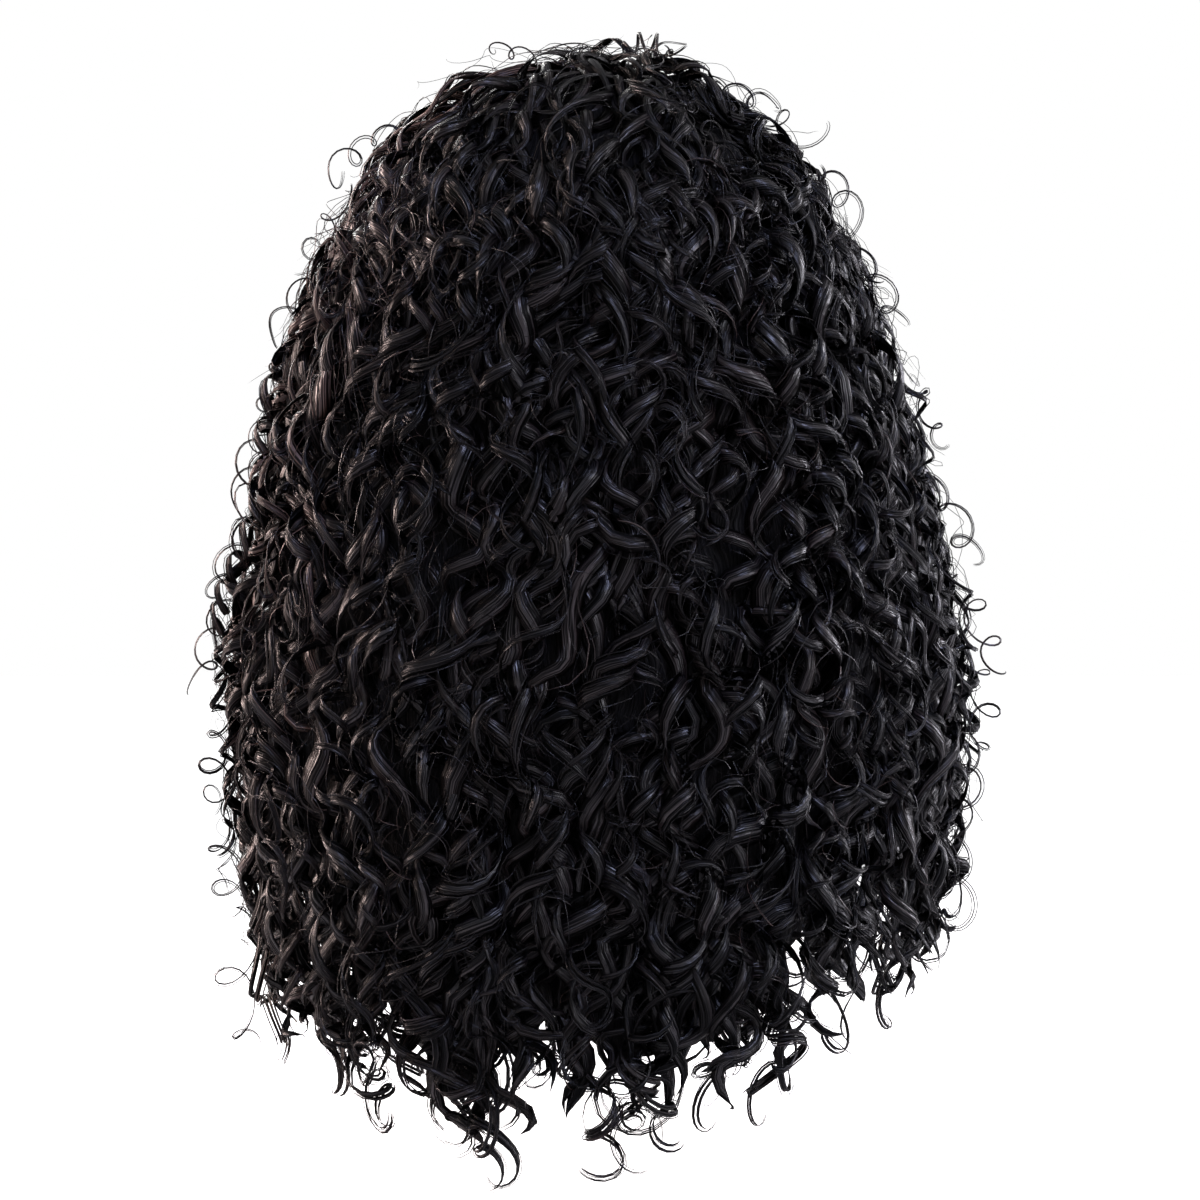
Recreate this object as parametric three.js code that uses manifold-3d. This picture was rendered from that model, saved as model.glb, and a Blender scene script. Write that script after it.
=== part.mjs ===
// A long curly wig: a thin dome-shaped cap that sits on the head, a tier of hair sewn over its top, and
// seven falls of corkscrew locks that hang from its sides and back, leaving the face and neck free.
// Millimetres, +Z up. The origin is the crown point inside the cap, where it rests on the top of the head.
// The wearer looks along -Y, so +Y is the back of the wig and +X its left side.
import * as THREE from "three";
import { mergeVertices } from "three/addons/utils/BufferGeometryUtils.js";
import Module from "manifold-3d";

const wasm = await Module();
wasm.setup();

// The head that the cap fits: an ellipsoid whose top is the origin, about 550 mm round.
const HEAD_HALF_WIDTH = 77;
const HEAD_HALF_LENGTH = 98;
const HEAD_HALF_HEIGHT = 100;
const CAP_WALL = 1.5;
// Hair lies on the cap with a small gap, and the facets of both curved walls need some room as well.
const SEAT_GAP = 0.3;
const FACET_ROOM = 0.8;
const HAIR_SEAT = CAP_WALL + SEAT_GAP + FACET_ROOM;

// The wig's outer form, a row for each level: half widths to the left and right, half depths to the
// front and back.
const OUTLINE = [
  { z: 31, left: 0, right: 0, front: 0, back: 0 },
  { z: 23, left: 47, right: 40, front: 56, back: 49 },
  { z: 4, left: 82, right: 68, front: 93, back: 86 },
  { z: -22, left: 101, right: 91, front: 115, back: 113 },
  { z: -58, left: 118, right: 109, front: 121, back: 132 },
  { z: -105, left: 134, right: 127, front: 120, back: 140 },
  { z: -160, left: 147, right: 143, front: 117, back: 144 },
  { z: -225, left: 159, right: 156, front: 115, back: 146 },
  { z: -290, left: 156, right: 153, front: 113, back: 144 },
  { z: -345, left: 148, right: 141, front: 110, back: 139 },
  { z: -395, left: 132, right: 122, front: 105, back: 129 },
  { z: -440, left: 112, right: 102, front: 98, back: 116 },
];

// Where the cap ends, as degrees down from the crown, at each angle round from the back of the head:
// nape, behind the ear, ear tab, temple and forehead.
const CAP_EDGE = [
  { round: 0, down: 130 },
  { round: 40, down: 119 },
  { round: 75, down: 101 },
  { round: 100, down: 98 },
  { round: 140, down: 77 },
  { round: 180, down: 63 },
];
const CAP_ROUND = 28;
const CAP_DOWN = 6;

// The falls, a row each: the angle of the middle of the fall round from the back, positive to the
// left, and the level where the locks of that fall end on average.
const FALLS = [
  { name: "front_right_fall", round: -120, hem: -358 },
  { name: "side_right_fall", round: -80, hem: -372 },
  { name: "back_right_fall", round: -40, hem: -398 },
  { name: "back_middle_fall", round: 0, hem: -418 },
  { name: "back_left_fall", round: 40, hem: -402 },
  { name: "side_left_fall", round: 80, hem: -380 },
  { name: "front_left_fall", round: 120, hem: -362 },
];
const FALL_SPAN = 40;
const FALL_TOP = -61;
const FALL_SIDE_GAP = 0.6;
const FALL_LEVELS = 8;
const FALL_LEVEL_BUNCHING = 1.6;
const FALL_STEPS_ROUND = 4;
const BACKING_SHARE = 0.5;
const BACKING_HEM_RISE = 30;

// A corkscrew lock of a fall: its share of the fall, the turn it takes, and how it is drawn.
const LOCKS_PER_FALL = 4;
const LOCK_FILL = 0.93;
const CURL_PITCH = 66;
const CURL_SWAY_SHARE = 0.26;
const LOCK_HALF_DEPTH = 11;
const LOCK_SWAY_DEPTH = 4.5;
const LOCK_SIDES = 5;
const SLICES_PER_TURN = 3;
const LOCK_TIP_SHARE = 0.55;
const HEM_SWING = 14;

// The crown tier lies over the tops of the falls like a skirt, so they stay this far under the outer form
// until the crown locks have ended.
const CROWN_LOCKS = 18;
const CROWN_LOCK_TOP = 0.06;
const CROWN_LOCK_FILL = 0.92;
const CROWN_TIER_DEPTH = 15;
const CROWN_SKIN_DEPTH = 6;
const CROWN_LOCK_HALF_DEPTH = 5.4;
const CROWN_SWAY_DEPTH = 2;
const CROWN_CURL_PITCH = 64;
const CROWN_LEDGE_DOWN = 66;
const CROWN_LEDGE_DOWN_AT_FOREHEAD = 57;
const CROWN_RIM = -94;
const CROWN_RIM_AT_FOREHEAD = -52;
const CROWN_LOCK_OVERHANG = 14;
const CROWN_OVERHANG_SWING = 8;
const CROWN_DOWN = 5;
const TIER_CLEARANCE = 1.2;
const TIER_RELEASE_TOP = -117;
const TIER_RELEASE_BOTTOM = -146;

const FACE_HALF_ANGLE = 180 - (FALLS.length * FALL_SPAN) / 2;
const { degToRad, lerp, smoothstep } = THREE.MathUtils;

const hairMaterial = new THREE.MeshStandardMaterial({ color: 0x17131a, roughness: 0.45, metalness: 0 });
const capMaterial = new THREE.MeshStandardMaterial({ color: 0x1d1a1c, roughness: 0.9, metalness: 0 });

// Smooth curves through the outline rows. Both run evenly from row to row, so they share their levels.
const widthCurve = new THREE.CatmullRomCurve3(
  OUTLINE.map((row) => new THREE.Vector3(row.left, row.right, row.z)), false, "catmullrom", 0.5,
);
const depthCurve = new THREE.CatmullRomCurve3(
  OUTLINE.map((row) => new THREE.Vector3(row.front, row.back, row.z)), false, "catmullrom", 0.5,
);

// The point of the outer form at an angle round from the back and a share of the way down the outline.
function outerPoint(round, share) {
  const width = widthCurve.getPoint(share);
  const depth = depthCurve.getPoint(share);
  const halfX = Math.sin(round) > 0 ? width.x : width.y;
  const halfY = Math.cos(round) > 0 ? depth.y : depth.x;
  return new THREE.Vector3(Math.sin(round) * halfX, Math.cos(round) * halfY, width.z);
}

// How far down the outline a level is, found by halving.
function shareAtLevel(z) {
  let low = 0;
  let high = 1;
  for (let i = 0; i < 40; i++) {
    const middle = (low + high) / 2;
    if (widthCurve.getPoint(middle).z > z) low = middle;
    else high = middle;
  }
  return (low + high) / 2;
}

// The outer form's point with its outward and sideways directions.
function outerFrame(round, share) {
  const small = 1e-3;
  const point = outerPoint(round, share);
  const across = outerPoint(round + small, share).sub(outerPoint(round - small, share)).normalize();
  const down = outerPoint(round, share + small).sub(outerPoint(round, share - small)).normalize();
  const outward = new THREE.Vector3().crossVectors(across, down).normalize();
  return { point, across, outward };
}

// A point of the head's ellipsoid grown by an offset, at an angle round and an angle down from the crown.
function headPoint(round, down, offset) {
  return new THREE.Vector3(
    Math.sin(round) * Math.sin(down) * (HEAD_HALF_WIDTH + offset),
    Math.cos(round) * Math.sin(down) * (HEAD_HALF_LENGTH + offset),
    Math.cos(down) * (HEAD_HALF_HEIGHT + offset) - HEAD_HALF_HEIGHT,
  );
}

// The point of a fall's inner side at an angle round and a level: on the cap's wall, and straight down
// below the widest part of the head.
function fallInnerPoint(round, z) {
  const down = z > -HEAD_HALF_HEIGHT ? Math.acos(1 + z / HEAD_HALF_HEIGHT) : Math.PI / 2;
  return headPoint(round, down, HAIR_SEAT).setZ(z);
}

// The same frame for a fall, where depth is measured level, from the outer form to the fall's inner side.
function fallFrame(round, share) {
  const { point, across } = outerFrame(round, share);
  const outward = point.clone().sub(fallInnerPoint(round, point.z)).normalize();
  across.addScaledVector(outward, -across.dot(outward)).normalize();
  return { point, across, outward };
}

// Half the way across between two angles round, at a depth under the outer form.
function halfSpanAt(frameAt, round, halfAngle, share, depth) {
  const [one, other] = [round - halfAngle, round + halfAngle].map((angle) => {
    const { point, outward } = frameAt(angle, share);
    return point.addScaledVector(outward, -depth);
  });
  return one.distanceTo(other) / 2;
}

// A closed geometry through slices with the same number of points, each turning clockwise as seen from
// the slice before it. A slice of one point is a pole, and any other end slice is filled flat.
function loft(slices) {
  const positions = [];
  const faces = [];
  const starts = slices.map((slice) => {
    const start = positions.length / 3;
    slice.forEach((p) => positions.push(p.x, p.y, p.z));
    return start;
  });
  for (let k = 0; k + 1 < slices.length; k++) {
    const upper = slices[k].length;
    const lower = slices[k + 1].length;
    const count = Math.max(upper, lower);
    for (let i = 0; i < count; i++) {
      const next = (i + 1) % count;
      const a = starts[k] + (i % upper);
      const b = starts[k] + (next % upper);
      const c = starts[k + 1] + (next % lower);
      const d = starts[k + 1] + (i % lower);
      if (upper > 1) faces.push(a, b, c);
      if (lower > 1) faces.push(a, c, d);
    }
  }
  fillEnd(slices[0], starts[0], true);
  fillEnd(slices.at(-1), starts.at(-1), false);
  const geometry = new THREE.BufferGeometry();
  geometry.setAttribute("position", new THREE.Float32BufferAttribute(positions, 3));
  geometry.setIndex(faces);
  return geometry;

  function fillEnd(slice, start, first) {
    if (slice.length < 3) return;
    const right = slice[1].clone().sub(slice[0]).normalize();
    const facing = right.clone().cross(slice.at(-1).clone().sub(slice[0])).normalize();
    const ahead = facing.cross(right);
    const flat = slice.map((p) => new THREE.Vector2(p.dot(right), p.dot(ahead)));
    for (const [a, b, c] of THREE.ShapeUtils.triangulateShape(flat, [])) {
      if (first) faces.push(start + c, start + b, start + a);
      else faces.push(start + a, start + b, start + c);
    }
  }
}

// A three.js geometry as a solid for joining, and a solid as a geometry.
function toSolid(geometry) {
  const merged = mergeVertices(geometry, 1e-3);
  return new wasm.Manifold(
    new wasm.Mesh({
      numProp: 3,
      vertProperties: merged.attributes.position.array,
      triVerts: new Uint32Array(merged.index.array),
    }),
  );
}

function toGeometry(solid) {
  const { vertProperties, triVerts } = solid.getMesh();
  const geometry = new THREE.BufferGeometry();
  geometry.setAttribute("position", new THREE.BufferAttribute(vertProperties, 3));
  geometry.setIndex(new THREE.BufferAttribute(triVerts, 1));
  return geometry;
}

function fuse(geometries) {
  return toGeometry(geometries.map(toSolid).reduce((sum, solid) => sum.add(solid)));
}

// A ring of points round the crown, in the order that a loft from the inside out needs.
function ring(count, pointAt) {
  return Array.from({ length: count }, (_, i) => pointAt((-2 * Math.PI * i) / count));
}

// How far down from the crown the cap's edge is at an angle round, in radians, smoothly between rows.
function capEdgeDown(round) {
  const turned = Math.abs(THREE.MathUtils.euclideanModulo(THREE.MathUtils.radToDeg(round) + 180, 360) - 180);
  const after = Math.max(1, CAP_EDGE.findIndex((row) => row.round >= turned));
  const from = CAP_EDGE[after - 1];
  const to = CAP_EDGE[after];
  return degToRad(lerp(from.down, to.down, smoothstep(turned, from.round, to.round)));
}

// The cap: rings down its inside from the crown, over the edge, and back up its outside.
function makeCap() {
  const rings = (offset) =>
    Array.from({ length: CAP_DOWN }, (_, j) =>
      ring(CAP_ROUND, (round) => headPoint(round, (capEdgeDown(round) * (j + 1)) / CAP_DOWN, offset)),
    );
  return loft([
    [headPoint(0, 0, 0)],
    ...rings(0),
    ...rings(CAP_WALL).reverse(),
    [headPoint(0, 0, CAP_WALL)],
  ]);
}

// A corkscrew lock along the outer form. Its slices are small polygons that sway round the lock's own
// line, full in the middle and thin at the root and the tip.
function curledLock(lock) {
  const length = outerPoint(lock.round, lock.from).z - outerPoint(lock.round, lock.to).z;
  const turns = Math.max(1, length / lock.pitch);
  const count = Math.round(turns * SLICES_PER_TURN);
  const slices = [];
  for (let k = 0; k <= count; k++) {
    const along = k / count;
    const share = lerp(lock.from, lock.to, along);
    const { point, across, outward } = lock.frameAt(lock.round, share);
    const under = lock.depthAt(point.z);
    const slim = Math.min(1, (lock.roomAt(point) - under) / (2 * (lock.halfDepth + lock.swayDepth)));
    const halfDepth = lock.halfDepth * slim;
    const swayDepth = lock.swayDepth * slim;
    const full = smoothstep(along, -0.12, 0.08) * lerp(1, LOCK_TIP_SHARE, smoothstep(along, 0.84, 1));
    const turn = 2 * Math.PI * turns * along + lock.phase;
    const narrowDepth = under + 1.6 * halfDepth + swayDepth;
    const halfSpan = halfSpanAt(lock.frameAt, lock.round, lock.halfAngle, share, narrowDepth);
    const sway = halfSpan * CURL_SWAY_SHARE;
    const centre = point
      .addScaledVector(outward, -under - halfDepth - swayDepth)
      .addScaledVector(outward, Math.cos(turn) * swayDepth)
      .addScaledVector(across, Math.sin(turn) * sway);
    slices.push(
      Array.from({ length: LOCK_SIDES }, (_, i) => {
        const angle = (2 * Math.PI * i) / LOCK_SIDES;
        return centre
          .clone()
          .addScaledVector(outward, Math.cos(angle) * halfDepth * full)
          .addScaledVector(across, Math.sin(angle) * (halfSpan - sway) * full);
      }),
    );
  }
  return loft(slices);
}

// How far under the outer form a fall stays at a level: under the crown tier at its top, then clear of it.
function depthUnderCrown(z) {
  return (CROWN_TIER_DEPTH + TIER_CLEARANCE) * smoothstep(z, TIER_RELEASE_BOTTOM, TIER_RELEASE_TOP);
}

// The backing of a fall: a curved slab between the cap or neck space and the roots of the locks.
function fallBacking(fall) {
  const edge = degToRad(FALL_SPAN / 2);
  const middle = degToRad(fall.round);
  const bottom = fall.hem + BACKING_HEM_RISE;
  const slices = [];
  for (let k = 0; k <= FALL_LEVELS; k++) {
    const z = lerp(FALL_TOP, bottom, (k / FALL_LEVELS) ** FALL_LEVEL_BUNCHING);
    const share = shareAtLevel(z);
    const outer = [];
    const inner = [];
    for (let i = 0; i <= FALL_STEPS_ROUND; i++) {
      const lean = lerp(-edge, edge, i / FALL_STEPS_ROUND);
      const outerReach = outerPoint(middle + lean, share);
      const inset = FALL_SIDE_GAP * Math.sign(lean) * (Math.abs(lean) === edge ? 1 : 0);
      const round = middle + lean - inset / Math.hypot(outerReach.x, outerReach.y);
      const { point, outward } = fallFrame(round, share);
      const seat = fallInnerPoint(round, z);
      point.addScaledVector(outward, -depthUnderCrown(z));
      outer.push(seat.clone().lerp(point, BACKING_SHARE));
      inner.unshift(seat);
    }
    slices.push([...outer, ...inner]);
  }
  return loft(slices);
}

function makeFall(fall) {
  const lockSpan = FALL_SPAN / LOCKS_PER_FALL;
  const pieces = [fallBacking(fall)];
  for (let k = 0; k < LOCKS_PER_FALL; k++) {
    const round = fall.round + lockSpan * (k - (LOCKS_PER_FALL - 1) / 2);
    const hem = fall.hem + HEM_SWING * Math.sin(round * 0.61 + fall.hem);
    pieces.push(
      curledLock({
        round: degToRad(round),
        from: shareAtLevel(FALL_TOP - 10),
        to: shareAtLevel(hem),
        pitch: CURL_PITCH,
        phase: degToRad(round * 7),
        halfAngle: degToRad((lockSpan / 2) * LOCK_FILL),
        halfDepth: LOCK_HALF_DEPTH,
        swayDepth: LOCK_SWAY_DEPTH,
        frameAt: fallFrame,
        depthAt: depthUnderCrown,
        roomAt: (point) => {
          const seat = fallInnerPoint(degToRad(round), point.z);
          return Math.hypot(point.x, point.y) - Math.hypot(seat.x, seat.y) - SEAT_GAP;
        },
      }),
    );
  }
  return fuse(pieces);
}

// How much an angle round is over the face: 1 above the forehead, 0 from the temples back.
function overFace(round) {
  const turned = Math.abs(THREE.MathUtils.euclideanModulo(THREE.MathUtils.radToDeg(round), 360) - 180);
  return 1 - smoothstep(turned, FACE_HALF_ANGLE - FALL_SPAN / 2, FACE_HALF_ANGLE + FALL_SPAN / 4);
}

function crownRim(round) {
  return lerp(CROWN_RIM, CROWN_RIM_AT_FOREHEAD, overFace(round));
}

// The crown tier's skin: rings down the cap to a ledge over the falls, out along it, down the inside of
// the skirt, and back up the outside.
function crownSkin() {
  const count = CROWN_LOCKS * 2;
  const ledgeDown = (round) =>
    degToRad(lerp(CROWN_LEDGE_DOWN, CROWN_LEDGE_DOWN_AT_FOREHEAD, overFace(round)));
  const onCap = Array.from({ length: CROWN_DOWN }, (_, j) =>
    ring(count, (round) => headPoint(round, (ledgeDown(round) * (j + 1)) / CROWN_DOWN, HAIR_SEAT)),
  );
  const underTier = (round, z) => {
    const { point, outward } = fallFrame(round, shareAtLevel(z));
    return point.addScaledVector(outward, -CROWN_TIER_DEPTH);
  };
  const outside = (round, share) => {
    const { point, outward } = outerFrame(round, share);
    return point.addScaledVector(outward, -CROWN_SKIN_DEPTH);
  };
  const upOutside = Array.from({ length: CROWN_DOWN }, (_, j) =>
    ring(count, (round) => outside(round, shareAtLevel(crownRim(round)) * (1 - j / CROWN_DOWN))),
  );
  const top = outerPoint(0, 0);
  return loft([
    [headPoint(0, 0, HAIR_SEAT)],
    ...onCap,
    ring(count, (round) => underTier(round, headPoint(round, ledgeDown(round), HAIR_SEAT).z)),
    ring(count, (round) => underTier(round, crownRim(round))),
    ...upOutside,
    [top.setZ(top.z - CROWN_SKIN_DEPTH)],
  ]);
}

// The crown tier with locks that run out from the crown, over the tops of the falls.
function makeCrown() {
  const pieces = [crownSkin()];
  const lockSpan = 360 / CROWN_LOCKS;
  for (let k = 0; k < CROWN_LOCKS; k++) {
    const round = degToRad(lockSpan * (k + 0.5) - 180);
    const overhang = (CROWN_LOCK_OVERHANG + CROWN_OVERHANG_SWING * Math.sin(k * 2.3)) * (1 - overFace(round));
    pieces.push(
      curledLock({
        round,
        from: CROWN_LOCK_TOP,
        to: shareAtLevel(crownRim(round) - overhang),
        pitch: CROWN_CURL_PITCH,
        phase: k * 1.9,
        halfAngle: degToRad((lockSpan / 2) * CROWN_LOCK_FILL),
        halfDepth: CROWN_LOCK_HALF_DEPTH,
        swayDepth: CROWN_SWAY_DEPTH,
        frameAt: outerFrame,
        depthAt: () => 0,
        roomAt: () => CROWN_TIER_DEPTH,
      }),
    );
  }
  return fuse(pieces);
}

function addPiece(group, name, geometry, material) {
  const mesh = new THREE.Mesh(geometry, material);
  mesh.name = name;
  group.add(mesh);
}

const wig = new THREE.Group();
addPiece(wig, "cap", makeCap(), capMaterial);
addPiece(wig, "crown_hair", makeCrown(), hairMaterial);
for (const fall of FALLS) addPiece(wig, fall.name, makeFall(fall), hairMaterial);

export default wig;
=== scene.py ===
from functools import partial
from math import pi, radians

import bpy
import numpy as np
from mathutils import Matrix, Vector


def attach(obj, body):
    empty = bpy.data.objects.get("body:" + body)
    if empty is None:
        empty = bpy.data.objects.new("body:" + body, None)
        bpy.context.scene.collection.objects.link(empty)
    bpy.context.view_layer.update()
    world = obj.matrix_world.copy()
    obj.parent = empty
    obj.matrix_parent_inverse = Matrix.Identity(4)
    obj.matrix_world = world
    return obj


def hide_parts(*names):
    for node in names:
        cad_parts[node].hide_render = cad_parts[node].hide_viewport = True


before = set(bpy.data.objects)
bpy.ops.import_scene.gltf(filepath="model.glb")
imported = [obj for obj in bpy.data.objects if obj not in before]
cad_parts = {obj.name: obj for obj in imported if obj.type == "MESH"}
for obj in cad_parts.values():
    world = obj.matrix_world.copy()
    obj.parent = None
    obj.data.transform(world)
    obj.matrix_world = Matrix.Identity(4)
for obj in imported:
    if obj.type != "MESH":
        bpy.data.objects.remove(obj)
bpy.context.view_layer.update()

# The cap is a thin dome of black stretch net that the wearer pulls on. Rows of weft are sewn round it,
# and its edge runs low at the nape, up round the ears and high over the forehead.
MM = 0.001
HEAD_HALF_WIDTH = 77
HEAD_HALF_LENGTH = 98
HEAD_HALF_HEIGHT = 100
CAP_WALL = 1.5
CAP_ROUND = 64
CAP_DOWN = 30
WEFT_SCALE = 26
NET_SCALE = 520
NET_RELIEF = 0.8 * MM
NET_DARK = (0.004, 0.0035, 0.004)
NET_LIGHT = (0.020, 0.017, 0.018)
# The cap's edge, a row for each place: degrees round from the back and degrees down from the crown.
cap_edge_rows = np.array([[0, 130], [40, 119], [75, 101], [100, 98], [140, 77], [180, 63]])
cap_edge_round, cap_edge_down = radians(1) * cap_edge_rows.T


def head_point(around, down, offset):
    """Points in mm on the head's ellipsoid grown by an offset, by angle round from the back and down."""
    return np.stack(
        [
            np.sin(around) * np.sin(down) * (HEAD_HALF_WIDTH + offset),
            np.cos(around) * np.sin(down) * (HEAD_HALF_LENGTH + offset),
            np.cos(down) * (HEAD_HALF_HEIGHT + offset) - HEAD_HALF_HEIGHT,
        ],
        axis=-1,
    )


def from_back(around):
    """How far an angle is from the back, either way round."""
    return np.abs((around + pi) % (2 * pi) - pi)


def eased(share):
    """A share from 0 to 1 that starts and ends slowly."""
    return share * share * (3 - 2 * share)


def blend(first, second, share):
    """What lies between two things, by the share of the second."""
    return first * (1 - share) + second * share


def cap_edge(around):
    """How far down from the crown the cap's edge is, eased between the table's rows."""
    turned = from_back(around)
    row = np.clip(np.searchsorted(cap_edge_round, turned), 1, len(cap_edge_round) - 1)
    share = (turned - cap_edge_round[row - 1]) / (cap_edge_round[row] - cap_edge_round[row - 1])
    return blend(cap_edge_down[row - 1], cap_edge_down[row], eased(share))


def feed(tree, node, terms):
    """Gives a node's inputs, by name or number, values or the outputs of other nodes."""
    for name, term in terms.items():
        if isinstance(term, bpy.types.NodeSocket):
            tree.links.new(term, node.inputs[name])
        else:
            node.inputs[name].default_value = term


def add_node(tree, kind, terms=None, operation=None):
    """A new shader node that is fed with terms."""
    node = tree.nodes.new("ShaderNode" + kind)
    if operation:
        node.operation = operation
    feed(tree, node, terms or {})
    return node


def reckon(tree, operation, *terms):
    """The output of a new math node."""
    return add_node(tree, "Math", dict(enumerate(terms)), operation).outputs["Value"]


def add_ramp(tree, place, stops):
    """The colour at a place on a ramp, whose stops are places and colours."""
    ramp_node = add_node(tree, "ValToRGB", {"Fac": place})
    elements = ramp_node.color_ramp.elements
    for stop_place, _ in stops[1:-1]:
        elements.new(stop_place)
    for element, (stop_place, colour) in zip(elements, stops):
        element.position = stop_place
        element.color = (*colour, 1)
    return ramp_node.outputs["Color"]


def new_material(name, terms):
    """A material with its node tree and its shader, which is fed with terms."""
    material = bpy.data.materials.new(name)
    material.use_nodes = True
    shader = material.node_tree.nodes["Principled BSDF"]
    feed(material.node_tree, shader, terms)
    return material, material.node_tree, shader


bpy.ops.object.select_all(action="DESELECT")
bpy.ops.mesh.primitive_uv_sphere_add(segments=CAP_ROUND, ring_count=CAP_DOWN, radius=1)
cap = bpy.context.object
cap.name = "cap_net"
ball = np.empty(len(cap.data.vertices) * 3)
cap.data.vertices.foreach_get("co", ball)
ball = ball.reshape(-1, 3)
ball_round = np.arctan2(ball[:, 0], ball[:, 1])
ball_down = np.arccos(np.clip(ball[:, 2], -1, 1))
# The ball's rings are drawn up over the head, so that the last ring above its south pole is the cap's edge.
last_ring = pi * (CAP_DOWN - 1) / CAP_DOWN
cap_place = head_point(ball_round, ball_down / last_ring * cap_edge(ball_round), 0) * MM
cap.data.vertices.foreach_set("co", cap_place.ravel())
bpy.ops.object.mode_set(mode="EDIT")
bpy.ops.mesh.select_all(action="DESELECT")
bpy.ops.object.mode_set(mode="OBJECT")
cap.data.vertices[int(np.argmax(ball_down))].select = True
bpy.ops.object.mode_set(mode="EDIT")
bpy.ops.mesh.delete(type="VERT")
bpy.ops.mesh.select_all(action="SELECT")
bpy.ops.mesh.normals_make_consistent(inside=False)
bpy.ops.object.mode_set(mode="OBJECT")
cap_thickness = cap.modifiers.new("wall", "SOLIDIFY")
cap_thickness.thickness = CAP_WALL * MM
cap_thickness.offset = 1
bpy.ops.object.modifier_apply(modifier="wall")
bpy.ops.object.shade_smooth()

cap_cloth, cloth_tree, cloth_shader = new_material("cap net", {"Roughness": 0.85, "Specular IOR Level": 0.25})
cap_spot = add_node(cloth_tree, "TexCoord").outputs["Object"]
weft_rows = add_node(
    cloth_tree, "TexWave", {"Vector": cap_spot, "Scale": WEFT_SCALE, "Distortion": 0.5, "Detail": 2}
)
weft_rows.wave_type = "BANDS"
weft_rows.bands_direction = "Z"
net_holes = add_node(cloth_tree, "TexVoronoi", {"Vector": cap_spot, "Scale": NET_SCALE})
net_height = reckon(cloth_tree, "MULTIPLY", weft_rows.outputs["Fac"], net_holes.outputs["Distance"])
net_colour = add_ramp(cloth_tree, net_height, [(0, NET_DARK), (1, NET_LIGHT)])
net_bump = add_node(cloth_tree, "Bump", {"Strength": 0.7, "Distance": NET_RELIEF, "Height": net_height})
feed(cloth_tree, cloth_shader, {"Base Color": net_colour, "Normal": net_bump.outputs["Normal"]})
cap.data.materials.append(cap_cloth)
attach(cap, "root")
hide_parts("cap")

# The crown hair is sewn over the top of the cap in rows. Bundles of fine fibre run out from the crown,
# set into springy ringlets, and lie over the tops of the falls all round.
FORM_STEPS = 600
# The outer form of all the hair, a row for each level: height, half widths left and right, half depths
# front and back.
hair_form = np.array(
    [
        [29, 0, 0, 0, 0],
        [22, 47, 40, 56, 49],
        [3, 82, 68, 93, 86],
        [-22, 101, 91, 115, 113],
        [-58, 118, 109, 121, 132],
        [-105, 134, 127, 120, 140],
        [-160, 147, 143, 117, 144],
        [-225, 159, 156, 115, 146],
        [-290, 156, 153, 113, 144],
        [-345, 148, 145, 110, 139],
        [-395, 132, 127, 105, 129],
        [-440, 112, 102, 98, 116],
    ],
    float,
)


def smooth_rows(rows, count):
    """The rows of a table joined by a smooth curve, as that many finer rows."""
    just_inside = 1e-9
    padded = np.vstack([2 * rows[0] - rows[1], rows, 2 * rows[-1] - rows[-2]])
    where = np.linspace(0, len(rows) - 1 - just_inside, count)
    start = where.astype(int)
    t = (where - start)[:, None]
    a, b, c, d = (padded[start + k] for k in range(4))
    return (2 * b + (c - a) * t + (2 * a - 5 * b + 4 * c - d) * t**2 + (3 * b - a - 3 * c + d) * t**3) / 2


fine_form = smooth_rows(hair_form, FORM_STEPS)
mean_width = fine_form[:, 1:].mean(axis=1)
# The way down the outside of the hair from the crown, in mm, at each of the finer rows.
way_down = np.concatenate([[0], np.cumsum(np.hypot(np.diff(mean_width), np.diff(fine_form[:, 0])))])


def way_at_height(z):
    return np.interp(-np.asarray(z, float), -fine_form[:, 0], way_down)


def outer_point(around, way):
    """Points in mm on the outer form, by angle round from the back and way down from the crown. A way
    below nothing is on the other side of the crown."""
    around = np.where(way < 0, around + pi, around)
    way = np.abs(way)
    z, left, right, front, back = (np.interp(way, way_down, column) for column in fine_form.T)
    across, along = np.sin(around), np.cos(around)
    return np.stack(
        [across * np.where(across > 0, left, right), along * np.where(along > 0, back, front), z], axis=-1
    )


def unit(vectors):
    shortest = 1e-9
    return vectors / np.maximum(np.linalg.norm(vectors, axis=-1, keepdims=True), shortest)


def square_to(vectors, axis):
    """Unit vectors turned square to an axis."""
    return unit(vectors - axis * (vectors * axis).sum(-1, keepdims=True))


def outward(around, way):
    """Which way is out of the hair at points of the outer form, and up at the crown itself."""
    turn, step = 0.02, 2.0
    just_up = np.array([0, 0, 1e-4])
    beyond = np.where(way < 0, -1.0, 1.0)
    sideways = outer_point(around + turn, way) - outer_point(around - turn, way)
    down = outer_point(around, way + step * beyond) - outer_point(around, way - step * beyond)
    return unit(np.cross(sideways, down) + just_up)


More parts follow.
